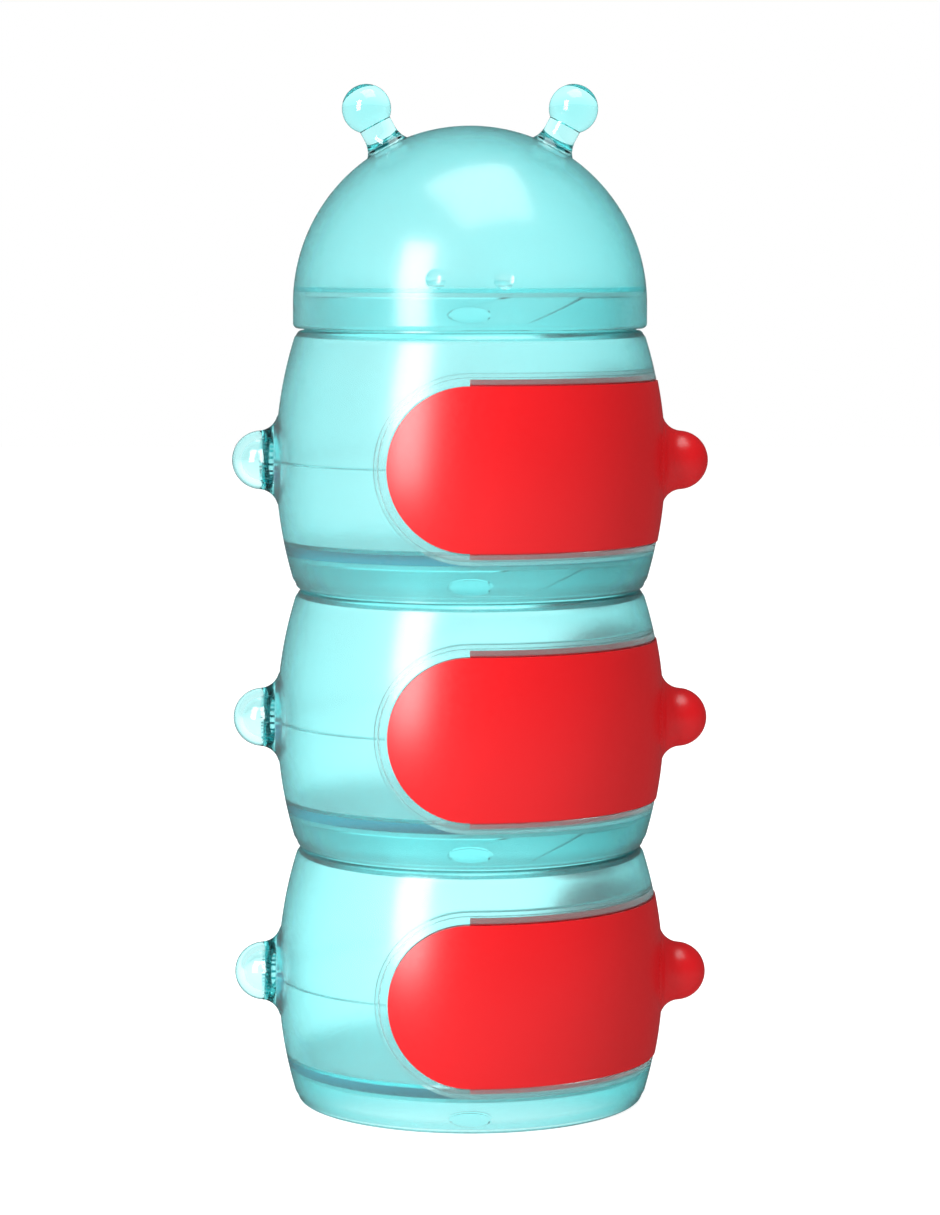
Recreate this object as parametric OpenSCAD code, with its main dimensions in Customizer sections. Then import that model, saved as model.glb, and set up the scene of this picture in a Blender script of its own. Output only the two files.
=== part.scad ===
// Stacking formula dispenser: three identical containers and a domed head cap.
// Each container is two half shells welded at mid height, with a curved door that
// slides round the barrel on a track and uncovers a pour window at the front.
// Every part above turns and rises on three lugs that ride in ramped neck grooves.
// Millimetres, +Z up, origin at the centre of the bottom container's resting rim.

/* [Containers] */
// Height from one container's rim to the next one's
container_pitch = 52; // [51:0.5:54]
// Largest outside radius of the barrel, at about mid height
barrel_r = 39; // [38.5:0.1:40]
// Radius of the arc that gives the barrel its bulge
barrel_arc = 83; // [80:1:95]
// Wall thickness of the shells
wall = 1.8; // [1.6:0.1:2]
// Rounding of the rim's and the shoulder's outside corners
rim_round = 1; // [0.6:0.1:1.2]

/* [Neck and collar] */
// Outside radius of the neck
neck_r = 33.2; // [33:0.1:33.3]
// Inside radius of the neck, which is the filling mouth
mouth_r = 31; // [30:0.1:31.2]
// Inside radius of the collar that goes over the neck
collar_r = 33.5; // [33.5:0.1:33.7]
// Height of the container's floor above its rim
floor_z = 7.2; // [7:0.1:7.6]
// Thickness of the floor
floor_t = 2; // [1.8:0.1:2.4]
// Thickness of the silicone sealing ring
seal_t = 0.8; // [0.6:0.1:1]

/* [Lugs] */
// Number of lugs, and of grooves
lug_count = 3; // [2:1:4]
// Length of a lug along the collar
lug_w = 8.4; // [7:0.2:9]
// Height of a lug
lug_h = 3; // [2.6:0.1:3.2]
// Height of a lug's centre above the rim
lug_z = 3.1; // [3:0.1:3.4]
// Rise of the part above for each degree of turn
lift_per_degree = 0.12; // [0.11:0.01:0.14]

/* [Door] */
// Half the height of the door, and the radius of its round ends
door_half = 16; // [15:0.5:16.5]
// How far the door stands proud of the barrel
door_proud = 0.25; // [0.1:0.05:0.5]
// Angle from the nub to the centre of the door's rear end
door_rear = 37.5; // [30:7.5:60]
// Angle that the door slides through
door_travel = 45; // [42:1:50]
// Radius of the round pour window
window_r = 13; // [11:0.5:13]

/* [Nubs and head] */
// Radius of the nubs' ball ends
nub_r = 5.9; // [5:0.1:6.2]
// Distance of the nubs' ball centres from the axis
nub_reach = 41.9; // [41:0.1:43]
// Radius of the head's dome
dome_r = 35.4; // [35:0.1:35.6]
// Height of the dome's centre above the head's rim
dome_z = 4.8; // [4.6:0.1:5]
// Tilt of the antennas from upright
antenna_tilt = 28; // [24:0.5:32]
// Radius of the antennas' balls
antenna_ball_r = 4.9; // [4.5:0.1:5.5]
// Diameter of the eye dimples
eye_d = 4.3; // [3.5:0.1:5]

/* [Hidden] */
$fn = 96;
CONTAINERS = ["bottom", "middle", "top"];
PIECES = ["lower_shell", "upper_shell", "door", "door_seal", "rim_seal"];
HEAD_NODES = ["head_dome", "head_rim_seal", "antenna_left", "antenna_right"];

teal = [0.47, 0.87, 0.87, 0.6];
red = [0.91, 0.13, 0.16];
silicone = [0.92, 0.95, 0.95, 0.8];

eps = 0.01;                          // overlap that keeps a cut clean
shell_facets = 36;                   // of the half shells, whose many cuts are meshed
far = 200;                           // longer than anything here
head_z = len(CONTAINERS) * container_pitch;
front = -90;                         // direction of the pour window, the lugs and the eyes

// Shells
seam_z = 25.6;                         // weld line, nub axis and middle of the door
barrel_mid = 25.2;                   // height of the barrel's largest radius
shoulder_gap = 0.4;                  // shadow gap between a shoulder and the rim above it
shoulder_z = container_pitch - shoulder_gap;
shoulder_round = 1;
neck_top = container_pitch + floor_z - seal_t;
tongue_h = 1.5;                      // height of the rib that locates the halves before welding
tongue_t = 0.6;
tongue_gap = 0.05;
rim_seal_gap = 0.25;                 // round a sealing ring, so that it is clear of the collar's flats

// Door track, as depths below the barrel's surface
lip_t = 0.7;                         // lip that traps the door's flange
slide_gap = 0.25;
flange_t = 0.7;
door_back = lip_t + slide_gap + flange_t;
track_depth = door_back + slide_gap;
track_wall = 1.4;
flange_w = 1.2;
edge_gap = 0.3;                      // round the door's visible edge
track_half = door_half + flange_w + edge_gap;
end_ease = 0.06;                     // how much larger than half the height a round end's radius is
plate_reach = 33.75;                 // angle that takes in a round end, in whole facets
backing_half = track_half + 0.8;       // ends just above the underside of the floor
track_rear = door_rear + door_travel;

// Pour window and its seal
window_seal_gap = 0.9;               // from the window's edge to the seal
window_seal_w = 1.1;
window_seal_depth = 0.7;             // of the seal's groove in the track's floor
window_seal_clear = 0.1;

// Grooves in the neck
groove_clear = 0.15;
groove_floor_r = 32;
lug_tip_r = 32.3;
lug_centre = container_pitch + lug_z;
groove_flat = 20;                    // end of the level stretch of its lower edge
groove_end = 50;                     // where a lug is clear of the neck
groove_step = 10;
groove_rise = 7;

// Nubs
flare_r = 4;                         // hollow curve from a nub into the barrel
flare_angle = 86.2;                  // direction of its centre from the ball's, from the nub's axis
flare_end = 196;                     // direction of its outer end from its own centre
flare_foot = [-1.3, 1.8];            // from there to where the cone below it ends, inside the wall

// Head and antennas
dome_wall = 2;
ledge_t = 1;
ledge_r = 30.4;
antenna_seat = 35;                 // flat seat on the dome, from the dome's centre
antenna_foot_r = 4.6;
antenna_neck_r = 3.35;
antenna_neck = 38.3;                 // narrowest place, from the dome's centre
antenna_ball = 43.9;                 // centre of the ball, from the dome's centre
spigot_r = 2.6;
spigot_end = 32.6;
eye_turn = 10.7;
eye_rise = 8.3;
eye_depth = 0.7;

// --- Profiles, drawn with the radius along X and the height along Y ---

// The barrel's outline, moved outwards by grow
module barrel_profile(grow) {
    intersection() {
        translate([barrel_r - barrel_arc, barrel_mid]) circle(r = barrel_arc + grow, $fn = 96);
        translate([0, -5]) square([2 * barrel_r, container_pitch + 10]);
    }
}

// A tall block whose lower outside corner, at radius r, is rounded
module rounded_foot(r, corner) {
    translate([0, corner]) square([far, far]);
    square([r - corner, far]);
    translate([r - corner, corner]) circle(r = corner, $fn = 16);
}

// The barrel's outline between two heights
module barrel_slice(grow, low, high) {
    intersection() {
        barrel_profile(grow);
        translate([0, low]) square([2 * barrel_r, high - low]);
    }
}

// Radius of the barrel's surface at a height
function barrel_at(z) = barrel_r - barrel_arc + sqrt(pow(barrel_arc, 2) - pow(z - barrel_mid, 2));

// --- Door track: bands of the barrel with round ends ---

// The layer of the barrel from depth high to depth low, both measured outwards
module layer(low, high) {
    rotate_extrude() difference() {
        barrel_profile(high);
        barrel_profile(low);
    }
}

// Everything behind an outline half tall each way from the seam, between the centres of its round ends
module band_outline(half, from, to) {
    rotate([0, 0, from]) rotate_extrude(angle = to - from)
        translate([barrel_r / 2, seam_z - half]) square([barrel_r, 2 * half]);
    for (at = [from, to])
        rotate([0, 0, at]) translate([0, 0, seam_z]) rotate([0, 90, 0]) rotate([0, 0, 180 / $fn]) cylinder(r = half, h = 1.5 * barrel_r);
}

module band(low, high, half, from, to) {
    intersection() {
        layer(low, high);
        band_outline(half, from, to);
    }
}

// Cross section of a layer of the barrel, half tall each way from the seam
module layer_section(low, high, half) {
    intersection() {
        difference() {
            barrel_profile(high);
            barrel_profile(low);
        }
        translate([barrel_r / 2, seam_z - half]) square([barrel_r, 2 * half]);
    }
}

// The door's curved plate: a band with a flange along both edges, and its two ends trimmed round
module door_plate(from, to) {
    difference() {
        rotate([0, 0, from - plate_reach]) rotate_extrude(angle = to - from + 2 * plate_reach) {
            layer_section(-door_back + flange_t / 2, door_proud, door_half);
            layer_section(-door_back, -door_back + flange_t, door_half + flange_w);
        }
        for (end = [[from, -1], [to, 1]]) rotate([0, 0, end[0]]) difference() {
            translate([far / 2 + 1, end[1] * far / 2, seam_z]) cube([far, far, 3 * door_half], center = true);
            translate([0, 0, seam_z]) rotate([0, 90, 0]) rotate([0, 0, 180 / $fn]) cylinder(r = door_half + end_ease, h = far);
        }
    }
}

// --- Nubs, along +X ---

flare_centre = [nub_reach, 0] + (nub_r + flare_r) * [cos(flare_angle), sin(flare_angle)];
nub_root = 37.3;                     // flat end of a nub, buried in the wall

// Half outline of a nub, with its axis along X
module nub_profile() {
    start = flare_centre + flare_r * [cos(flare_end), sin(flare_end)];
    foot = start + flare_foot;
    touch = [nub_reach, 0] + nub_r * [cos(flare_angle), sin(flare_angle)];
    difference() {
        polygon([[nub_root, 0], [nub_root, foot[1]], foot, start, touch, [touch[0], 0]]);
        translate(flare_centre) circle(r = flare_r);
    }
    intersection() {
        translate([nub_reach, 0]) circle(r = nub_r);
        translate([nub_root, 0]) square([far, far]);
    }
}

module nub() {
    translate([0, 0, seam_z]) rotate([0, 90, 0]) rotate([0, 0, 180 / $fn]) rotate_extrude() rotate([0, 0, 90]) mirror([0, 1]) nub_profile();
}

// The round-ended hollow inside a nub
module nub_core() {
    translate([0, 0, seam_z]) rotate([0, 90, 0]) rotate([0, 0, 180 / $fn]) rotate_extrude() {
        square([nub_r - wall, nub_reach]);
        intersection() {
            translate([0, nub_reach]) circle(r = nub_r - wall);
            translate([0, nub_reach]) square([nub_r, nub_r]);
        }
    }
}

// --- Container ---

module shell_profile() {
    difference() {
        union() {
            intersection() {
                barrel_slice(0, 0, shoulder_z);
                rounded_foot(barrel_at(0), rim_round);
                translate([0, shoulder_z]) mirror([0, 1]) rounded_foot(barrel_at(shoulder_z), shoulder_round);
            }
            translate([0, shoulder_z - wall]) square([neck_r, neck_top - shoulder_z + wall]);
        }
        barrel_slice(-wall, floor_z + floor_t, shoulder_z - wall);
        translate([0, floor_z + floor_t]) square([mouth_r, far]);
        translate([0, -1]) square([collar_r, floor_z + 1]);
    }
}

// A lug's oval standing radially between two radii, at an angle and a height
module radial_oval(angle, z, r1, r2, grow) {
    sides = 16;
    oval = [for (i = [0 : sides - 1]) let (a = (i + 0.5) * 360 / sides) [(lug_w / 2 + grow) * cos(a), (lug_h / 2 + grow) * sin(a)]];
    rotate([0, 0, angle]) translate([r1, 0, z]) rotate([90, 0, 90]) linear_extrude(r2 - r1) polygon(oval);
}

module lug() {
    radial_oval(0, lug_z, lug_tip_r, collar_r + 0.3, 0);
}

// Height of the lug's centre when its underside lies on the groove's lower edge
function groove_low(angle) = max(0, angle - groove_flat) / (groove_end - groove_flat) * groove_rise;

// The way a lug takes in the neck, widened below so that it finds its way in
module neck_groove() {
    for (a = [0 : groove_step : groove_end - groove_step]) hull() for (b = [a, a + groove_step]) {
        radial_oval(b, lug_centre + lift_per_degree * b, groove_floor_r, neck_r + 1, groove_clear);
        radial_oval(b, lug_centre + groove_low(b), groove_floor_r, neck_r + 1, groove_clear);
    }
}

module all_round(count) {
    for (i = [0 : count - 1]) rotate([0, 0, front + i * 360 / count]) children();
}

// A bar of the pour window's radius, grown by grow, along the front direction
module window_bar(grow) {
    translate([0, -barrel_r / 2, seam_z]) rotate([90, 0, 0]) rotate([0, 0, 180 / $fn]) cylinder(r = window_r + grow, h = barrel_r);
}

module window_seal_ring(low, high, slack) {
    intersection() {
        layer(low, high);
        difference() {
            window_bar(window_seal_gap + window_seal_w + slack);
            window_bar(window_seal_gap - slack);
        }
    }
}

// The whole container as if it were one piece, before it is parted at the seam
module container_body() {
    $fn = shell_facets;
    difference() {
        union() {
            rotate_extrude() shell_profile();
            mirror([1, 0, 0]) nub($fn = 32);
            band(-track_depth - track_wall, -wall / 2, backing_half, front, track_rear);
        }
        mirror([1, 0, 0]) nub_core($fn = 32);
        band(-track_depth, -lip_t, track_half, front, track_rear);
        band(-(lip_t + track_depth) / 2, 2, door_half + edge_gap, front, track_rear);
        window_seal_ring(-track_depth - window_seal_depth, -(lip_t + track_depth) / 2, window_seal_clear / 2);
        window_bar(0);
        all_round(lug_count) neck_groove();
    }
    all_round(lug_count) lug();
}

// A locating rib standing down from the seam into the other half, between two angles
module tongue_arc(depth, slack, from, to) {
    rotate([0, 0, from]) rotate_extrude(angle = to - from)
        translate([barrel_r - depth - tongue_t / 2 - slack, seam_z - tongue_h - slack])
            square([tongue_t + 2 * slack, tongue_h + slack + 0.5]);
}

module tongues(slack) {
    $fn = shell_facets;
    tongue_arc(wall / 2, slack, 116 - slack, 164 + slack);
    tongue_arc(wall / 2, slack, 196 - slack, 238 + slack);
    tongue_arc(track_depth + track_wall / 2, slack, front + 28 - slack, track_rear + 18 + slack);
}

module lower_shell() {
    color(teal) difference() {
        container_body();
        translate([-far / 2, -far / 2, seam_z]) cube(far);
        tongues(tongue_gap);
    }
}

module upper_shell() {
    color(teal) {
        intersection() {
            container_body();
            translate([-far / 2, -far / 2, seam_z]) cube(far);
        }
        tongues(0);
    }
}

// The sliding door with its flange and its hollow nub
module door() {
    color(red) difference() {
        union() {
            door_plate(front, door_rear);
            nub();
        }
        nub_core();
    }
}

module door_seal() {
    color(silicone) window_seal_ring(-track_depth - window_seal_depth, -door_back - slide_gap / 4, 0);
}

module rim_seal() {
    color(silicone) translate([0, 0, floor_z - seal_t]) difference() {
        cylinder(r = collar_r - rim_seal_gap, h = seal_t);
        translate([0, 0, -1]) cylinder(r = mouth_r - 0.3, h = seal_t + 2);
    }
}

// --- Head ---

// Places its child along an antenna's axis; side is 1 for the right and -1 for the left
module on_antenna(side) {
    translate([0, 0, dome_z]) rotate([0, side * antenna_tilt, 0]) children();
}

module dome_outside() {
    rotate_extrude() {
        intersection() {
            translate([0, dome_z]) circle(r = dome_r);
            translate([0, dome_z]) square([far, far]);
        }
        intersection() {
            square([dome_r, dome_z]);
            rounded_foot(dome_r, rim_round);
        }
    }
}

module dome_inside() {
    rotate_extrude() {
        intersection() {
            translate([0, dome_z]) circle(r = dome_r - dome_wall);
            translate([0, floor_z + ledge_t]) square([far, far]);
        }
        translate([0, -1]) square([collar_r, floor_z + 1]);
        square([ledge_r, floor_z + 2 * ledge_t]);
    }
}

module eye() {
    dimple_r = (pow(eye_d / 2, 2) + pow(eye_depth, 2)) / (2 * eye_depth);
    translate([0, 0, dome_z]) rotate([0, -eye_rise, 0]) translate([dome_r - eye_depth + dimple_r, 0, 0]) sphere(r = dimple_r);
}

module head_dome() {
    color(teal) {
        difference() {
            dome_outside();
            dome_inside();
            for (side = [-1, 1]) {
                rotate([0, 0, front + side * eye_turn]) eye();
                on_antenna(side) translate([0, 0, antenna_seat]) cylinder(r = antenna_foot_r + 0.05, h = 5);
                on_antenna(side) translate([0, 0, spigot_end - 2]) cylinder(r = spigot_r + 0.05, h = 5);
            }
        }
        all_round(lug_count) lug();
    }
}

module antenna(side) {
    flare = antenna_foot_r - antenna_neck_r;
    rise = antenna_neck - antenna_seat;
    waist_r = (pow(rise, 2) + pow(flare, 2)) / (2 * flare);
    color(teal) on_antenna(side) rotate_extrude() {
        intersection() {
            translate([0, antenna_ball]) circle(r = antenna_ball_r);
            translate([0, antenna_neck]) square([far, far]);
        }
        difference() {
            translate([0, antenna_seat]) square([antenna_foot_r, antenna_ball - antenna_seat]);
            translate([antenna_neck_r + waist_r, antenna_neck]) circle(r = waist_r);
            translate([0, antenna_ball - antenna_ball_r + 1.5]) difference() {
                square([far, antenna_ball_r]);
                translate([0, -1]) square([antenna_neck_r, far]);
            }
        }
        translate([0, spigot_end]) square([spigot_r, antenna_neck - spigot_end]);
    }
}

// --- Assembly ---

for (i = [0 : len(CONTAINERS) - 1]) {
    name = CONTAINERS[i];
    translate([0, 0, i * container_pitch]) {
        lower_shell();
        upper_shell();
        door();
        door_seal();
        rim_seal();
    }
}
translate([0, 0, head_z]) {
    head_dome();
    rim_seal();  // head_rim_seal
    antenna(-1);  // antenna_left
    antenna(1);  // antenna_right
}
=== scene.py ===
"""Looks of the stacking formula dispenser: moulded shells, sliding doors, head cap, studio and camera."""

import logging
import math
from dataclasses import dataclass, field
from enum import Enum
from typing import Any

import bmesh
import bpy
from mathutils import Matrix, Vector

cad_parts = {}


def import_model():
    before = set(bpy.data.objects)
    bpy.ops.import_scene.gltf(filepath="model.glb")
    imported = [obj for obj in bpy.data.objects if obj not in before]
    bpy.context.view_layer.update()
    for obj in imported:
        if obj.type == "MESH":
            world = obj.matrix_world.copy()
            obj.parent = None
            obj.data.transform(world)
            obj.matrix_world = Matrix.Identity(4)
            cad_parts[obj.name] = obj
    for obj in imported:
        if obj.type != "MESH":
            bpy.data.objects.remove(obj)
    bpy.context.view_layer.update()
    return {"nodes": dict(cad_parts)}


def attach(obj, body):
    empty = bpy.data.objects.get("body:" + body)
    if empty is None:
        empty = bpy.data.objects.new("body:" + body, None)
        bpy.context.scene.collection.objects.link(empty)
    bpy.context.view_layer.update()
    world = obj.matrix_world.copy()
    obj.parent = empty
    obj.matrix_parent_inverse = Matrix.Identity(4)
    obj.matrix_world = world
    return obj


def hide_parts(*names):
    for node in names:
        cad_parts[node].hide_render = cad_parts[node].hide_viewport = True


LOG = logging.getLogger("dispenser")


class Storey(Enum):
    """The three containers, from the table up."""

    BOTTOM = "bottom"
    MIDDLE = "middle"
    TOP = "top"


class Side(Enum):
    """The side an antenna leans to."""

    LEFT = -1
    RIGHT = 1


def linear(hex_colour: str) -> tuple[float, float, float, float]:
    """Turns an sRGB hex colour into Blender's linear RGBA.

    Args:
        hex_colour: A colour such as "#9adfe2".

    Returns:
        Linear red, green, blue and an alpha of 1.
    """
    parts = [int(hex_colour[i : i + 2], 16) / 255 for i in (1, 3, 5)]
    red, green, blue = (p / 12.92 if p <= 0.04045 else ((p + 0.055) / 1.055) ** 2.4 for p in parts)
    return red, green, blue, 1.0


def add_node(
    tree: bpy.types.NodeTree,
    kind: str,
    settings: dict[str, Any] | None = None,
    inputs: dict[str | int, Any] | None = None,
    links: dict[str | int, bpy.types.NodeSocket] | None = None,
) -> bpy.types.Node:
    """Adds a shader node with its settings, socket values and incoming links.

    Args:
        tree: The node tree it goes in.
        kind: Blender's node type name.
        settings: Properties of the node itself.
        inputs: Values for its input sockets.
        links: Output sockets to link to its input sockets.

    Returns:
        The new node.
    """
    node = tree.nodes.new(kind)
    for name, value in (settings or {}).items():
        setattr(node, name, value)
    for key, value in (inputs or {}).items():
        node.inputs[key].default_value = value
    for key, socket in (links or {}).items():
        tree.links.new(socket, node.inputs[key])
    return node


@dataclass(frozen=True)
class Moulding:
    """What every injection-moulded finish here has: a base look, a fine tool texture and slow waviness."""

    name: str
    colour: str
    deep_colour: str
    roughness: float
    roughness_spread: float
    texture_mm: float
    texture_height_mm: float
    wave_mm: float
    wave_height_mm: float
    ior: float = 1.49
    transmission: float = 0.0
    coat: float = 0.0
    subsurface: float = 0.0
    specular: float = 0.5
    subsurface_mm: tuple[float, float, float] = (1.0, 1.0, 1.0)
    absorb_colour: tuple[float, float, float] | None = None
    absorb_per_metre: float = 0.0

    def material(self) -> bpy.types.Material:
        """Builds the node material.

        Returns:
            The material, named for its plastic and finish.
        """
        material = bpy.data.materials.new(self.name)
        material.use_nodes = True
        tree = material.node_tree
        tree.nodes.clear()
        place = add_node(tree, "ShaderNodeTexCoord").outputs["Object"]
        waves = add_node(
            tree, "ShaderNodeTexNoise",
            inputs={"Scale": 1000 / self.wave_mm, "Detail": 2.0, "Roughness": 0.45}, links={"Vector": place},
        )
        grain = add_node(
            tree, "ShaderNodeTexNoise",
            inputs={"Scale": 1000 / self.texture_mm, "Detail": 3.0, "Roughness": 0.6}, links={"Vector": place},
        )
        tint = add_node(
            tree, "ShaderNodeMix", {"data_type": "RGBA"},
            {6: linear(self.colour), 7: linear(self.deep_colour)}, {0: waves.outputs["Fac"]},
        )
        rough = add_node(
            tree, "ShaderNodeMapRange",
            inputs={"From Min": 0.3, "From Max": 0.7, "To Min": self.roughness - self.roughness_spread,
                    "To Max": self.roughness + self.roughness_spread},
            links={"Value": grain.outputs["Fac"]},
        )
        swell = add_node(
            tree, "ShaderNodeBump", inputs={"Strength": 1.0, "Distance": self.wave_height_mm / 1000},
            links={"Height": waves.outputs["Fac"]},
        )
        relief = add_node(
            tree, "ShaderNodeBump", inputs={"Strength": 1.0, "Distance": self.texture_height_mm / 1000},
            links={"Height": grain.outputs["Fac"], "Normal": swell.outputs["Normal"]},
        )
        shader = add_node(
            tree, "ShaderNodeBsdfPrincipled",
            inputs={"IOR": self.ior, "Specular IOR Level": self.specular, "Transmission Weight": self.transmission, "Coat Weight": self.coat,
                    "Coat Roughness": 0.12, "Subsurface Weight": self.subsurface, "Subsurface Scale": 0.001,
                    "Subsurface Radius": self.subsurface_mm},
            links={"Base Color": tint.outputs[2], "Roughness": rough.outputs["Result"],
                   "Normal": relief.outputs["Normal"]},
        )
        output = add_node(tree, "ShaderNodeOutputMaterial", links={"Surface": shader.outputs["BSDF"]})
        if self.absorb_colour:
            volume = add_node(
                tree, "ShaderNodeVolumeAbsorption",
                inputs={"Color": (*self.absorb_colour, 1.0), "Density": self.absorb_per_metre},
            )
            tree.links.new(volume.outputs["Volume"], output.inputs["Volume"])
        return material


# Dyed polypropylene, spark-eroded tool inside and a light satin polish outside: milky, pale where it is thin
# and deep aqua where it is seen edge on.
SATIN_AQUA = Moulding(
    name="satin_aqua_polypropylene", colour="#fbffff", deep_colour="#f6ffff", roughness=0.21, roughness_spread=0.02,
    texture_mm=0.9, texture_height_mm=0.0015, wave_mm=26.0, wave_height_mm=0.12, transmission=0.95,
    absorb_colour=(0.0, 0.95, 0.965), absorb_per_metre=260.0,
)
# The same resin from a polished tool: clear and glossy, as on the nubs and antennas.
CLEAR_AQUA = Moulding(
    name="polished_aqua_polypropylene", colour="#f0ffff", deep_colour="#eafefe", roughness=0.07, roughness_spread=0.03,
    texture_mm=1.4, texture_height_mm=0.002, wave_mm=14.0, wave_height_mm=0.05, transmission=1.0,
    absorb_colour=(0.0, 0.94, 0.95), absorb_per_metre=80.0,
)
# Opaque pigmented polypropylene with an even satin tool texture: a broad soft highlight and no sparkle.
SATIN_RED = Moulding(
    name="satin_red_polypropylene", colour="#b90a12", deep_colour="#b2080f", roughness=0.31, roughness_spread=0.03,
    texture_mm=0.7, texture_height_mm=0.005, wave_mm=20.0, wave_height_mm=0.03, specular=0.45, subsurface=0.12,
    subsurface_mm=(1.6, 0.4, 0.3),
)
# Compression-moulded food silicone: milky, matt, a little soft at its edges.
SILICONE = Moulding(
    name="milky_silicone", colour="#e6f6f6", deep_colour="#dbf1f1", roughness=0.5, roughness_spread=0.06,
    texture_mm=0.6, texture_height_mm=0.004, wave_mm=9.0, wave_height_mm=0.02, ior=1.41, transmission=0.5,
)


@dataclass
class Wardrobe:
    """The finishes made once and shared by the pieces."""

    aqua: bpy.types.Material = field(init=False)
    clear: bpy.types.Material = field(init=False)
    red: bpy.types.Material = field(init=False)
    silicone: bpy.types.Material = field(init=False)

    def __post_init__(self) -> None:
        """Builds the four materials."""
        self.aqua = SATIN_AQUA.material()
        self.clear = CLEAR_AQUA.material()
        self.red = SATIN_RED.material()
        self.silicone = SILICONE.material()


def finish_mesh(form: bmesh.types.BMesh, name: str, materials: list[bpy.types.Material], crease_deg: float) -> bpy.types.Object:
    """Turns a finished bmesh into a smooth-shaded object at the origin.

    Args:
        form: The shape, in metres in the shared frame. It is freed.
        name: The piece's name.
        materials: Its material slots.
        crease_deg: Edges sharper than this stay sharp.

    Returns:
        The new object.
    """
    limit = math.radians(crease_deg)
    for face in form.faces:
        face.smooth = True
    for edge in form.edges:
        edge.smooth = len(edge.link_faces) == 2 and edge.calc_face_angle(0.0) < limit
    mesh = bpy.data.meshes.new(name)
    form.to_mesh(mesh)
    form.free()
    for material in materials:
        mesh.materials.append(material)
    piece = bpy.data.objects.new(name, mesh)
    bpy.context.scene.collection.objects.link(piece)
    even = piece.modifiers.new("even_shading", "WEIGHTED_NORMAL")
    even.keep_sharp = True
    return piece


# --- Dimensions, in millimetres, in the shared frame ---


@dataclass(frozen=True)
class Measures:
    """The sizes that the mouldings share."""

    pitch: float = 52.0
    barrel_r: float = 39.0
    barrel_arc: float = 83.0
    barrel_mid: float = 25.2
    wall: float = 1.8
    seam: float = 25.6
    shoulder: float = 51.6
    neck_r: float = 33.2
    neck_top: float = 58.4
    mouth_r: float = 31.0
    collar_r: float = 33.5
    floor_low: float = 7.22
    floor_high: float = 9.2
    lip: float = 0.7
    door_back: float = 1.65
    track: float = 1.9
    track_back: float = 3.3
    proud: float = 0.25
    door_half: float = 16.0
    flange_half: float = 17.2
    track_half: float = 17.5
    backing_half: float = 18.3
    edge_gap: float = 0.3
    front: float = -90.0
    door_rear: float = 37.5
    track_rear: float = 82.5
    window_r: float = 13.0
    nub_r: float = 5.9
    nub_reach: float = 41.9
    nub_root: float = 37.3
    dome_r: float = 35.4
    dome_z: float = 4.8
    dome_wall: float = 2.0
    ledge_r: float = 30.4
    antenna_tilt: float = 28.0

    def barrel(self, height: float) -> float:
        """Radius of the barrel's surface at a height above its rim.

        Args:
            height: Millimetres above the rim.

        Returns:
            The radius in millimetres.
        """
        return self.barrel_r - self.barrel_arc + math.sqrt(self.barrel_arc**2 - (height - self.barrel_mid) ** 2)


M = Measures()
Outline = list[tuple[float, float]]


def arc(centre: tuple[float, float], radius: float, start: float, stop: float, steps: int) -> Outline:
    """Points along an arc.

    Args:
        centre: Its centre.
        radius: Its radius.
        start: First direction in degrees.
        stop: Last direction in degrees.
        steps: Number of segments.

    Returns:
        The points, with both ends.
    """
    angles = [math.radians(start + (stop - start) * i / steps) for i in range(steps + 1)]
    return [(centre[0] + radius * math.cos(a), centre[1] + radius * math.sin(a)) for a in angles]


def wall_line(low: float, high: float, offset: float, steps: int) -> Outline:
    """Points on the barrel's outline, moved outwards by an offset.

    Args:
        low: First height.
        high: Last height.
        offset: Distance outwards, or inwards if negative.
        steps: Number of segments.

    Returns:
        Radius and height pairs.
    """
    heights = [low + (high - low) * i / steps for i in range(steps + 1)]
    return [(M.barrel(h) + offset, h) for h in heights]


def turned(outline: Outline, steps: int, closed: bool = True) -> bmesh.types.BMesh:
    """Spins an outline round the vertical axis.

    Args:
        outline: Radius and height pairs. An open one starts and ends on the axis.
        steps: Segments round the axis.
        closed: Whether the last point joins the first.

    Returns:
        The turned solid, in millimetres.
    """
    form = bmesh.new()
    points = [form.verts.new((radius, 0.0, height)) for radius, height in outline]
    pairs = list(zip(points, points[1:])) + ([(points[-1], points[0])] if closed else [])
    edges = [form.edges.new(pair) for pair in pairs]
    bmesh.ops.spin(form, geom=points + edges, cent=(0, 0, 0), axis=(0, 0, 1), angle=2 * math.pi, steps=steps)
    bmesh.ops.remove_doubles(form, verts=form.verts, dist=1e-4)
    bmesh.ops.recalc_face_normals(form, faces=form.faces)
    return form


@dataclass(frozen=True)
class Column:
    """One upright line of a strip round the barrel: where it stands and how far it reaches."""

    azimuth: float
    shift: float
    low: float
    high: float


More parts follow.
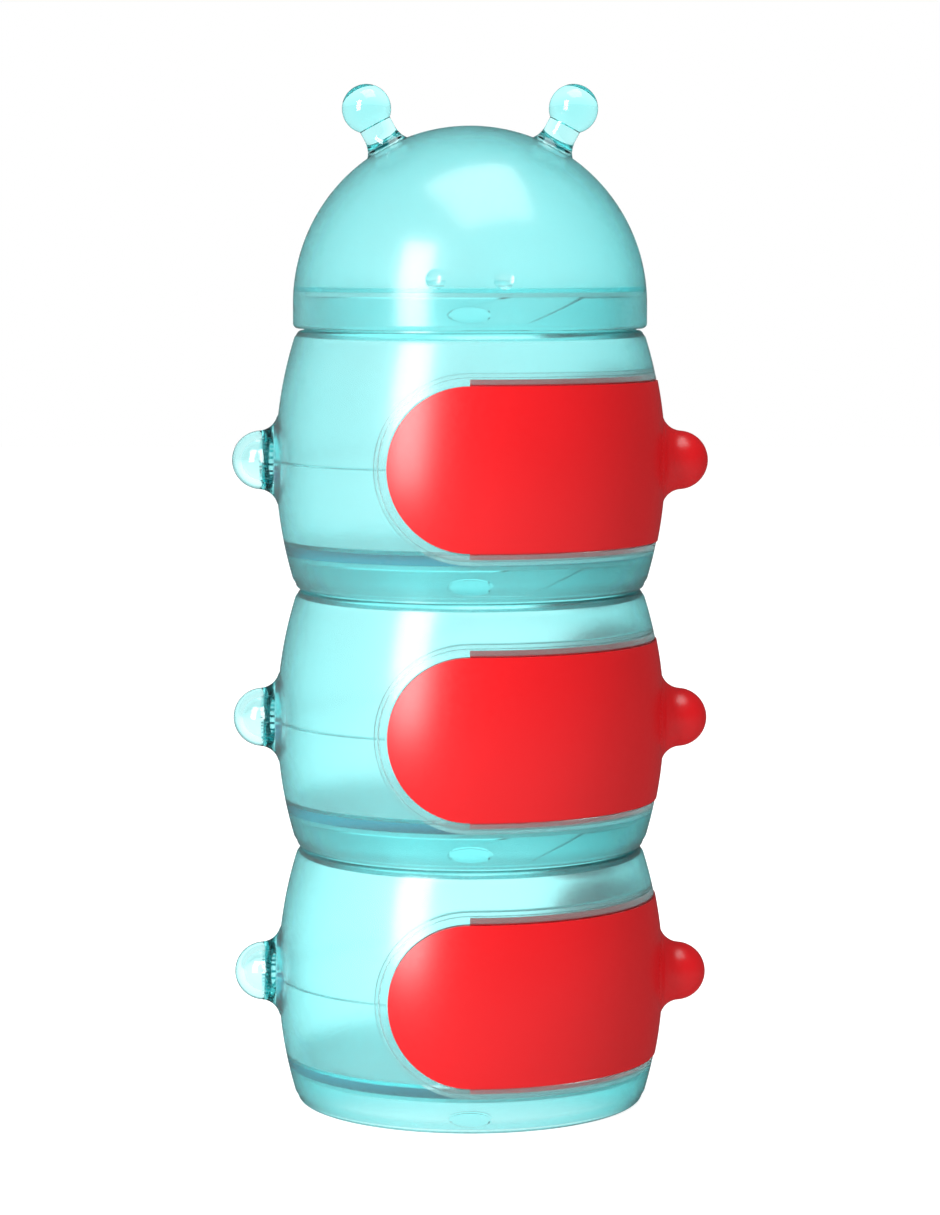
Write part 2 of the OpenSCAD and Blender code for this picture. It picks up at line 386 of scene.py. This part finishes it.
def strip(columns: list[Column], inner: float | None, outer: float | None, span: tuple[float, float], rows: int) -> bmesh.types.BMesh:
    """Makes a solid strip that follows the barrel, or a plain cylinder where an offset is missing.

    Args:
        columns: Its upright lines, in order.
        inner: Offset of its inner face from the barrel, or None for the first radius of the span.
        outer: Offset of its outer face, or None for the second radius.
        span: Plain radii to use where an offset is None.
        rows: Segments up each line.

    Returns:
        The strip, in millimetres.
    """
    form = bmesh.new()
    count = len(columns) - 1
    bmesh.ops.create_grid(form, x_segments=count, y_segments=rows, size=0.5)
    grown = bmesh.ops.extrude_face_region(form, geom=form.faces[:])
    raised = {g for g in grown["geom"] if isinstance(g, bmesh.types.BMVert)}
    for vert in form.verts:
        column = columns[round((vert.co.x + 0.5) * count)]
        height = column.low + (column.high - column.low) * (vert.co.y + 0.5)
        offset, plain = (outer, span[1]) if vert in raised else (inner, span[0])
        radius = plain if offset is None else M.barrel(height) + offset
        angle = math.radians(column.azimuth) + math.asin(column.shift / radius)
        vert.co = (radius * math.cos(angle), radius * math.sin(angle), height)
    bmesh.ops.remove_doubles(form, verts=form.verts, dist=1e-4)
    bmesh.ops.recalc_face_normals(form, faces=form.faces)
    return form


def stadium(half: float, start: float, stop: float, ends: int = 14, pitch: float = 2.5) -> list[Column]:
    """Columns of a strip with straight edges and round ends.

    Args:
        half: Half its height, and the radius of its ends.
        start: Azimuth of the first end's centre in degrees.
        stop: Azimuth of the last end's centre.
        ends: Columns in each round end.
        pitch: Degrees between the columns of the straight stretch.

    Returns:
        The columns.
    """
    def end(azimuth: float, side: int) -> list[Column]:
        turns = [math.pi / 2 * i / ends for i in range(ends)]
        return [
            Column(azimuth, side * half * math.cos(t), M.seam - half * math.sin(t), M.seam + half * math.sin(t)) for t in turns
        ]

    steps = max(1, round((stop - start) / pitch))
    straight = [Column(start + (stop - start) * i / steps, 0.0, M.seam - half, M.seam + half) for i in range(steps + 1)]
    return end(start, -1) + straight + end(stop, 1)[::-1]


def nub_outline() -> Outline:
    """Half outline of a nub, from its buried root to its tip, as radius and distance along its axis."""
    flare, lean, foot_turn = 4.0, math.radians(86.2), math.radians(196)
    centre = (M.nub_reach + (M.nub_r + flare) * math.cos(lean), (M.nub_r + flare) * math.sin(lean))
    start = (centre[0] + flare * math.cos(foot_turn), centre[1] + flare * math.sin(foot_turn))
    hollow = arc(centre, flare, 196.0, 266.2, 10)
    ball = arc((M.nub_reach, 0.0), M.nub_r, 86.2, 0.0, 18)
    along = [(M.nub_root, 0.0), (M.nub_root, start[1] + 1.8), (start[0] - 1.3, start[1] + 1.8)] + hollow + ball[1:]
    return [(across, distance) for distance, across in along]


def nub_form(side: int, core: bool = False) -> bmesh.types.BMesh:
    """Makes a nub, or the round-ended hollow inside one.

    Args:
        side: 1 towards +X and -1 towards -X.
        core: Whether to make the hollow.

    Returns:
        The solid, in millimetres.
    """
    if core:
        radius = M.nub_r - M.wall
        outline = [(0.0, 12.0), (radius, 12.0)] + [(y, x) for x, y in arc((M.nub_reach, 0.0), radius, 90.0, 0.0, 14)]
    else:
        outline = nub_outline()
    form = turned(outline, 64, closed=False)
    bmesh.ops.rotate(form, verts=form.verts, matrix=Matrix.Rotation(side * math.pi / 2, 3, "Y"))
    bmesh.ops.translate(form, verts=form.verts, vec=(0, 0, M.seam))
    return form


def spun_about(form: bmesh.types.BMesh, degrees: float) -> bmesh.types.BMesh:
    """Turns a form about the vertical axis.

    Args:
        form: The form.
        degrees: The angle.

    Returns:
        The same form.
    """
    bmesh.ops.rotate(form, verts=form.verts, matrix=Matrix.Rotation(math.radians(degrees), 3, "Z"))
    return form


def lug_form(azimuth: float) -> bmesh.types.BMesh:
    """Makes one oval lug standing inwards from the collar.

    Args:
        azimuth: Where it stands, in degrees.

    Returns:
        The lug, in millimetres.
    """
    form = bmesh.new()
    bmesh.ops.create_cone(form, cap_ends=True, segments=40, radius1=1.0, radius2=1.0, depth=1.0)
    for vert in form.verts:
        across, up, inward = vert.co.x, vert.co.y, vert.co.z
        vert.co = (33.15 - 0.85 * 2 * inward * 1.0, across * 4.2, 3.1 + up * 1.5)
    rim = [e for e in form.edges if all(abs(v.co.x - 32.3) < 0.01 for v in e.verts)]
    bmesh.ops.bevel(form, geom=rim, offset=0.35, segments=3, affect="EDGES", profile=0.5)
    bmesh.ops.recalc_face_normals(form, faces=form.faces)
    return spun_about(form, azimuth)


def lug_mark(azimuth: float, surface: float) -> bmesh.types.BMesh:
    """Makes the fine oval line that marks a lug on the outside.

    Args:
        azimuth: Where the lug stands, in degrees.
        surface: Radius of the outside at the lug's height.

    Returns:
        The cutter, in millimetres.
    """
    parts = []
    for across, tall, reach in ((4.5, 1.8, 0.0), (4.05, 1.35, 1.0)):
        form = bmesh.new()
        bmesh.ops.create_cone(form, cap_ends=True, segments=48, radius1=1.0, radius2=1.0, depth=2.0 + reach)
        for vert in form.verts:
            vert.co = (surface + 0.72 + vert.co.z, vert.co.x * across, 3.1 + vert.co.y * tall)
        bmesh.ops.recalc_face_normals(form, faces=form.faces)
        parts.append(form)
    return spun_about(combined(parts[0], [("DIFFERENCE", parts[1])]), azimuth)


def groove_form(azimuth: float) -> bmesh.types.BMesh:
    """Makes the way that a lug takes in the neck.

    Args:
        azimuth: Where the lug rests, in degrees.

    Returns:
        The cutter, in millimetres.
    """
    centre, reach, tall = M.pitch + 3.1, 7.5, 1.65
    columns = []
    for i in range(53):
        turn = -reach + (50 + 2 * reach) * (0.5 - 0.5 * math.cos(math.pi * i / 52))
        near = min(max(turn, 0.0), 50.0)
        half = tall * math.sqrt(max(0.0, 1 - ((turn - near) / reach) ** 2))
        drop, rise = 7 * max(0.0, near - 20) / 30, 0.12 * near
        columns.append(Column(azimuth + turn, 0.0, centre + min(drop, rise) - half, centre + max(drop, rise) + half))
    return strip(columns, None, None, (32.0, 34.4), 2)


def as_object(form: bmesh.types.BMesh, name: str) -> bpy.types.Object:
    """Puts a form into a new object.

    Args:
        form: The form. It is freed.
        name: The object's name.

    Returns:
        The object.
    """
    mesh = bpy.data.meshes.new(name)
    form.to_mesh(mesh)
    form.free()
    item = bpy.data.objects.new(name, mesh)
    bpy.context.scene.collection.objects.link(item)
    return item


def combined(start: bmesh.types.BMesh, steps: list[tuple[str, bmesh.types.BMesh]]) -> bmesh.types.BMesh:
    """Joins and cuts solids in turn.

    Args:
        start: The first solid.
        steps: For each further solid, UNION, DIFFERENCE or INTERSECT, and the solid. They are freed.

    Returns:
        The result.
    """
    base = as_object(start, "blank")
    tools = []
    for number, (operation, form) in enumerate(steps):
        tool = as_object(form, f"tool_{number}")
        change = base.modifiers.new(f"step_{number}", "BOOLEAN")
        change.operation = operation
        change.solver = "EXACT"
        change.object = tool
        tools.append(tool)
    result = bmesh.new()
    result.from_object(base, bpy.context.evaluated_depsgraph_get())
    for item in [base] + tools:
        mesh = item.data
        bpy.data.objects.remove(item)
        bpy.data.meshes.remove(mesh)
    bmesh.ops.remove_doubles(result, verts=result.verts, dist=2e-3)
    bmesh.ops.dissolve_degenerate(result, edges=result.edges, dist=1e-3)
    return result


def container_form() -> bmesh.types.BMesh:
    """Makes a whole container at the height of the bottom one, in millimetres."""
    foot, top = M.barrel(0) - 1.0, M.barrel(M.shoulder)
    outline = [(M.collar_r, 0.0)] + arc((foot, 1.0), 1.0, -90.0, 0.0, 6)
    outline += wall_line(2.0, M.seam - 0.25, 0.0, 20) + [(M.barrel(M.seam) - 0.18, M.seam)]
    outline += wall_line(M.seam + 0.25, M.shoulder - 1.4, 0.0, 20)
    outline += arc((top - 1.0, M.shoulder - 1.0), 1.0, 18.0, 90.0, 5)
    outline += [(M.neck_r, M.shoulder), (M.neck_r, M.neck_top - 0.3), (M.neck_r - 0.3, M.neck_top), (M.mouth_r, M.neck_top)]
    outline += [(M.mouth_r, M.shoulder - M.wall)] + wall_line(M.shoulder - M.wall, M.floor_high + 0.8, -M.wall, 32)
    outline += [(M.barrel(M.floor_high) - M.wall - 0.8, M.floor_high), (0.0, M.floor_high), (0.0, M.floor_low), (M.collar_r, M.floor_low)]
    layer = turned(wall_line(0.5, 50.0, -M.track - 0.7, 30) + wall_line(50.0, 0.5, -M.lip - 0.2, 30), 144)
    ring = turned([(13.85, 20.0), (15.05, 20.0), (15.05, 45.0), (13.85, 45.0)], 72)
    bar = turned([(0.0, 20.0), (M.window_r, 20.0), (M.window_r, 45.0), (0.0, 45.0)], 72, closed=False)
    for form in (ring, bar):
        bmesh.ops.rotate(form, verts=form.verts, matrix=Matrix.Rotation(math.pi / 2, 3, "X"))
        bmesh.ops.translate(form, verts=form.verts, vec=(0, 0, M.seam))
    groove = combined(layer, [("INTERSECT", ring)])
    plain = (0.0, 0.0)
    steps = [
        ("UNION", strip(stadium(M.backing_half, M.front, M.track_rear), -M.track_back, -0.9, plain, 24)),
        ("UNION", nub_form(-1)),
        ("DIFFERENCE", nub_form(-1, core=True)),
        ("DIFFERENCE", strip(stadium(M.track_half, M.front, M.track_rear), -M.track, -M.lip, plain, 24)),
        ("DIFFERENCE", strip(stadium(M.door_half + M.edge_gap, M.front, M.track_rear), -M.lip - 0.5, 2.0, plain, 24)),
        ("DIFFERENCE", groove),
        ("DIFFERENCE", bar),
    ]
    steps += [("DIFFERENCE", groove_form(M.front + 120 * i)) for i in range(3)]
    steps += [("UNION", lug_form(M.front + 120 * i)) for i in range(3)]
    steps += [("DIFFERENCE", lug_mark(M.front + 120 * i, M.barrel(3.1))) for i in range(3)]
    return combined(turned(outline, 144), steps)


def door_form() -> bmesh.types.BMesh:
    """Makes a door with its nub at the height of the bottom one, in millimetres."""
    plate = strip(stadium(M.door_half, M.front, M.door_rear, 20), -M.door_back, M.proud, (0.0, 0.0), 28)
    rim = [
        e for e in plate.edges
        if e.calc_face_angle(0.0) > 0.9 and all(math.hypot(v.co.x, v.co.y) > M.barrel(v.co.z) for v in e.verts)
    ]
    bmesh.ops.bevel(plate, geom=rim, offset=0.35, segments=3, affect="EDGES", profile=0.5, clamp_overlap=True)
    straight = [Column(M.front + 2.5 * i, 0.0, M.seam - M.flange_half, M.seam + M.flange_half) for i in range(52)]
    flange = strip(straight, -M.door_back, -M.door_back + 0.7, (0.0, 0.0), 24)
    return combined(plate, [("UNION", flange), ("UNION", nub_form(1)), ("DIFFERENCE", nub_form(1, core=True))])


def dome_form() -> bmesh.types.BMesh:
    """Makes the head cap with its rim on the ground, in millimetres."""
    inside = M.dome_r - M.dome_wall
    shelf = math.degrees(math.asin((M.floor_low + 0.9 - M.dome_z) / inside))
    outline = [(M.collar_r, 0.0)] + arc((M.dome_r - 1.0, 1.0), 1.0, -90.0, 0.0, 6)
    outline += arc((0.0, M.dome_z), M.dome_r, 0.0, 90.0, 56)
    outline += arc((0.0, M.dome_z), inside, 90.0, shelf, 50)
    outline += [(M.ledge_r, M.floor_low + 0.7), (M.ledge_r, M.floor_low), (M.collar_r, M.floor_low)]
    steps = []
    dimple = (2.15**2 + 0.7**2) / 1.4
    for side in (-1, 1):
        eye = bmesh.new()
        bmesh.ops.create_uvsphere(eye, u_segments=48, v_segments=32, radius=dimple)
        bmesh.ops.translate(eye, verts=eye.verts, vec=(M.dome_r - 0.7 + dimple, 0, 0))
        bmesh.ops.rotate(eye, verts=eye.verts, matrix=Matrix.Rotation(math.radians(-8.3), 3, "Y"))
        bmesh.ops.translate(eye, verts=eye.verts, vec=(0, 0, M.dome_z))
        steps.append(("DIFFERENCE", spun_about(eye, M.front + side * 10.7)))
        for radius, low, high in ((4.65, 35.0, 40.0), (2.65, 30.6, 36.0)):
            seat = turned([(0.0, low), (radius, low), (radius, high), (0.0, high)], 48, closed=False)
            steps.append(("DIFFERENCE", leaned(seat, side)))
    steps += [("UNION", lug_form(M.front + 120 * i)) for i in range(3)]
    steps += [("DIFFERENCE", lug_mark(M.front + 120 * i, M.dome_r)) for i in range(3)]
    return combined(turned(outline, 144), steps)


def leaned(form: bmesh.types.BMesh, side: int) -> bmesh.types.BMesh:
    """Lays a form that stands on the dome's centre along an antenna's axis.

    Args:
        form: The form.
        side: 1 for the right and -1 for the left.

    Returns:
        The same form.
    """
    bmesh.ops.rotate(form, verts=form.verts, matrix=Matrix.Rotation(math.radians(side * M.antenna_tilt), 3, "Y"))
    bmesh.ops.translate(form, verts=form.verts, vec=(0, 0, M.dome_z))
    return form


def antenna_form(side: int) -> bmesh.types.BMesh:
    """Makes a ball-tipped antenna over a head cap with its rim on the ground, in millimetres.

    Args:
        side: 1 for the right and -1 for the left.

    Returns:
        The antenna.
    """
    foot, neck, seat, narrow, ball = 4.6, 3.35, 35.0, 38.3, 43.9
    rise, flare = narrow - seat, foot - neck
    waist = (rise**2 + flare**2) / (2 * flare)
    sweep = math.degrees(math.asin(rise / waist))
    outline = [(0.0, 32.6), (2.6, 32.6), (2.6, seat), (foot, seat)]
    outline += arc((neck + waist, narrow), waist, 180 + sweep, 180, 10)[1:]
    join = math.degrees(math.acos(neck / 4.9))
    outline += arc((0.0, ball), 4.9, -join, 90.0, 26)
    return leaned(turned(outline, 64, closed=False), side)


@dataclass
class Container:
    """One container with its door and its seals."""

    storey: Storey

    @property
    def base(self) -> float:
        """Height of the container's rim above the table, in millimetres."""
        return list(Storey).index(self.storey) * M.pitch

    def build(self, shapes: dict[str, bpy.types.Mesh], nodes: dict[str, bpy.types.Object], wardrobe: "Wardrobe") -> list[bpy.types.Object]:
        """Makes the container's visible pieces and puts them on their bodies.

        Args:
            shapes: The shapes that all containers share.
            nodes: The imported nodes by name.
            wardrobe: The finishes.

        Returns:
            The new pieces.
        """
        name = self.storey.value
        shell = placed(shapes["container"], f"{name}_container_moulding", self.base, [wardrobe.aqua, wardrobe.clear], 28.0)
        for face in shell.data.polygons:
            if face.center.x < -0.0392 and abs(face.center.y) < 0.012:
                face.material_index = 1
        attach(shell, f"{name}_container")
        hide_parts(f"{name}_lower_shell", f"{name}_upper_shell")
        door = placed(shapes["door"], f"{name}_door_moulding", self.base, [wardrobe.red], 28.0)
        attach(door, f"{name}_sliding_door")
        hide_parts(f"{name}_door")
        for seal in ("door_seal", "rim_seal"):
            dress(nodes[f"{name}_{seal}"], wardrobe.silicone)
        return [shell, door]


@dataclass
class Head:
    """The domed head cap with its antennas."""

    def build(self, nodes: dict[str, bpy.types.Object], wardrobe: "Wardrobe") -> list[bpy.types.Object]:
        """Makes the head's visible pieces and puts them on their body.

        Args:
            nodes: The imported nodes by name.
            wardrobe: The finishes.

        Returns:
            The new pieces.
        """
        base = len(Storey) * M.pitch
        dome = placed(shape(dome_form()), "head_dome_moulding", base, [wardrobe.aqua], 28.0)
        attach(dome, "head")
        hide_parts("head_dome")
        pieces = [dome]
        for side in Side:
            node = f"antenna_{side.name.lower()}"
            antenna = placed(shape(antenna_form(side.value)), f"{node}_moulding", base, [wardrobe.clear], 40.0)
            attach(antenna, "head")
            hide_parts(node)
            pieces.append(antenna)
        dress(nodes["head_rim_seal"], wardrobe.silicone)
        return pieces


def shape(form: bmesh.types.BMesh) -> bpy.types.Mesh:
    """Turns a form in millimetres into a mesh. The form is freed.

    Args:
        form: The form.

    Returns:
        The mesh, still in millimetres.
    """
    mesh = bpy.data.meshes.new("shape")
    form.to_mesh(mesh)
    form.free()
    return mesh


def placed(source: bpy.types.Mesh, name: str, base_mm: float, materials: list[bpy.types.Material], crease_deg: float) -> bpy.types.Object:
    """Copies a shape to its height in the stack, in metres, with its object at the origin.

    Args:
        source: The shape, in millimetres above its own rim.
        name: The piece's name.
        base_mm: Height of its rim.
        materials: Its material slots.
        crease_deg: Edges sharper than this stay sharp.

    Returns:
        The piece.
    """
    form = bmesh.new()
    form.from_mesh(source)
    bmesh.ops.translate(form, verts=form.verts, vec=(0, 0, base_mm))
    bmesh.ops.scale(form, verts=form.verts, vec=(0.001, 0.001, 0.001))
    return finish_mesh(form, name, materials, crease_deg)


def dress(node: bpy.types.Object, material: bpy.types.Material) -> None:
    """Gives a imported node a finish.

    Args:
        node: The node.
        material: The finish.
    """
    node.data.materials.clear()
    node.data.materials.append(material)


@dataclass
class Studio:
    """A white sweep, soft lights and the camera."""

    sweep_half: float = 2.6
    distance: float = 0.7363
    eye_height: float = 0.1694
    tilt_deg: float = 5.4
    lens_mm: float = 108.65
    surround: float = 1.04
    fill: float = 0.55
    mirrored: float = 0.08

    def camera(self) -> bpy.types.Object:
        """Places the camera level with the top container, looking slightly down.

        Returns:
            The camera.
        """
        data = bpy.data.cameras.new("studio_camera")
        data.sensor_fit = "VERTICAL"
        data.sensor_height = 36.0
        data.lens = self.lens_mm
        data.clip_end = 20.0
        camera = bpy.data.objects.new("studio_camera", data)
        camera.location = (0.0, -self.distance, self.eye_height)
        camera.rotation_euler = (math.radians(90 - self.tilt_deg), 0.0, 0.0)
        bpy.context.scene.collection.objects.link(camera)
        bpy.context.scene.camera = camera
        return camera

    def sweep(self) -> bpy.types.Object:
        """Makes the seamless pale floor.

        Returns:
            The floor.
        """
        form = bmesh.new()
        bmesh.ops.create_grid(form, x_segments=1, y_segments=1, size=self.sweep_half)
        floor = finish_mesh(form, "studio_floor", [], 30.0)
        floor.modifiers.clear()
        material = bpy.data.materials.new("matt_white_paper")
        material.use_nodes = True
        shader = material.node_tree.nodes["Principled BSDF"]
        shader.inputs["Base Color"].default_value = (0.5, 0.5, 0.5, 1.0)
        shader.inputs["Emission Color"].default_value = (1.0, 1.0, 1.0, 1.0)
        shader.inputs["Emission Strength"].default_value = 0.82
        shader.inputs["Roughness"].default_value = 1.0
        shader.inputs["Specular IOR Level"].default_value = 0.0
        floor.data.materials.append(material)
        floor.visible_glossy = False
        return floor

    def lamp(self, name: str, place: Vector, aim: Vector, size: tuple[float, float], watts: float) -> bpy.types.Object:
        """Adds a softbox.

        Args:
            name: Its name.
            place: Where it stands.
            aim: What it points at.
            size: Width and height in metres.
            watts: Its power.

        Returns:
            The light.
        """
        data = bpy.data.lights.new(name, "AREA")
        data.shape = "RECTANGLE"
        data.size, data.size_y = size
        data.energy = watts
        lamp = bpy.data.objects.new(name, data)
        lamp.location = place
        lamp.visible_transmission = False
        lamp.rotation_euler = (aim - place).to_track_quat("-Z", "Y").to_euler()
        bpy.context.scene.collection.objects.link(lamp)
        return lamp

    def world(self) -> bpy.types.World:
        """Makes the even white surroundings.

        Returns:
            The world.
        """
        world = bpy.data.worlds.new("white_studio")
        world.use_nodes = True
        tree = world.node_tree
        ray = tree.nodes.new("ShaderNodeLightPath").outputs
        mirrored = add_node(
            tree, "ShaderNodeMath", {"operation": "MULTIPLY"},
            links={0: ray["Is Glossy Ray"], 1: ray["Is Reflection Ray"]},
        )
        level = tree.nodes.new("ShaderNodeValue")
        level.outputs[0].default_value = self.surround
        for chosen, strength in ((ray["Is Diffuse Ray"], self.fill), (mirrored.outputs[0], self.mirrored), (ray["Is Camera Ray"], 1.0)):
            level = add_node(
                tree, "ShaderNodeMix", inputs={3: strength}, links={0: chosen, 2: level.outputs[0]},
            )
        tree.links.new(level.outputs[0], tree.nodes["Background"].inputs["Strength"])
        tree.nodes["Background"].inputs["Color"].default_value = (1.0, 1.0, 1.0, 1.0)
        bpy.context.scene.world = world
        return world

    def build(self) -> None:
        """Sets the whole studio up."""
        self.camera()
        self.sweep()
        self.world()
        middle = Vector((0.0, 0.0, 0.1))
        self.lamp("left_softbox", Vector((-0.62, -0.84, 0.44)), middle, (0.4, 0.9), 19.0)
        self.lamp("top_softbox", Vector((0.1, -0.2, 1.0)), middle, (0.7, 0.7), 8.0)
        view = bpy.context.scene.view_settings
        view.view_transform = "Standard"
        view.look = "None"
        cycles = bpy.context.scene.cycles
        cycles.use_denoising = True
        cycles.max_bounces = 24
        cycles.transmission_bounces = 20
        cycles.transparent_max_bounces = 16
        cycles.volume_bounces = 2
        cycles.caustics_refractive = True
        cycles.caustics_reflective = False


def main() -> None:
    """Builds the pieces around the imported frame, then the studio."""
    logging.basicConfig(level=logging.INFO, format="%(name)s: %(message)s")
    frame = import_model()
    Studio().build()
    wardrobe = Wardrobe()
    shapes = {"container": shape(container_form()), "door": shape(door_form())}
    pieces = [piece for storey in Storey for piece in Container(storey).build(shapes, frame["nodes"], wardrobe)]
    pieces += Head().build(frame["nodes"], wardrobe)
    for piece in pieces:
        LOG.info("%s: %d faces", piece.name, len(piece.data.polygons))


if __name__ == "__main__":
    main()
